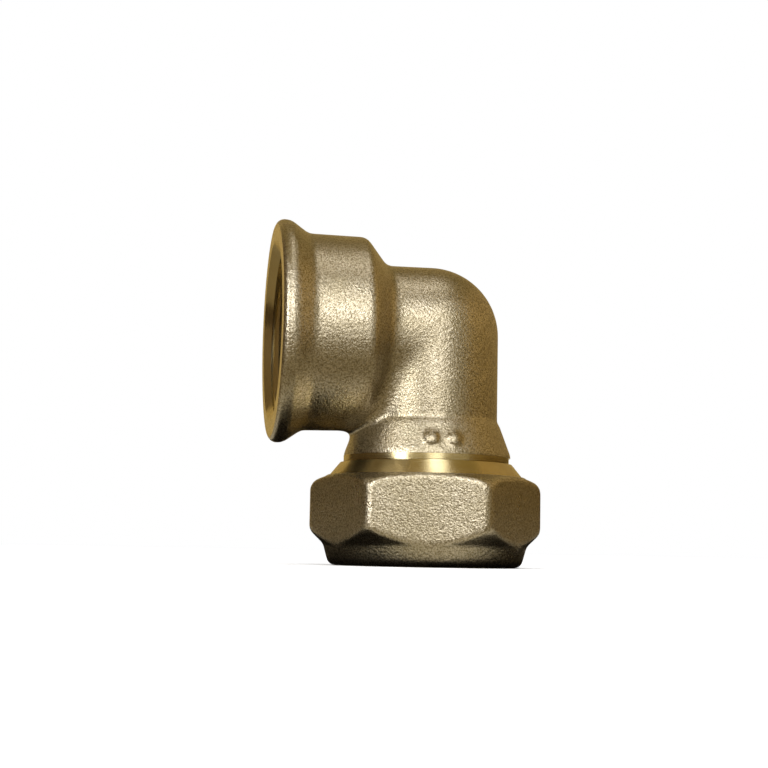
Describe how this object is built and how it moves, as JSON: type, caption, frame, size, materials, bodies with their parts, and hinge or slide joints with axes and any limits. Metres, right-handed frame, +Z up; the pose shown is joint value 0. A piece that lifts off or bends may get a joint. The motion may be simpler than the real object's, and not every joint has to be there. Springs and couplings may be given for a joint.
{
  "type": "compression female elbow",
  "caption": "Right-angle brass pipe fitting: a hexagon nut and olive grip a plain tube at one end, and a beaded socket at right angles takes a male pipe thread.",
  "frame": {"origin": "centre of the nut's flat end face, where the tube goes in", "axes": "+Z up the tube's axis into the fitting, -X out of the female socket"},
  "size_m": [0.0428, 0.035, 0.0538],
  "materials": {
    "forged_brass": "hot forged and shot blasted, turned where it seats",
    "nut_brass": "hot forged and shot blasted, with a bright turned top",
    "olive_brass": "bright drawn and turned"
  },
  "bodies": {
    "elbow": {"elbow_body": "forged_brass"},
    "olive_ring": {"olive": "olive_brass"},
    "nut": {"compression_nut": "nut_brass"}
  },
  "joints": [
    {"name": "olive_slide", "type": "slide", "parent": "elbow", "child": "olive_ring", "axis": [0, 0, -1], "range_m": [0, 0.00545]},
    {"name": "nut_turn", "type": "hinge", "parent": "olive_ring", "child": "nut", "pos_m": [0, 0, 0], "axis": [0, 0, -1], "range_deg": [0, 1080]}
  ],
  "couplings": [
    {"joint": "olive_slide", "follows": "nut_turn", "m_per_rad": 0.00028875}
  ]
}
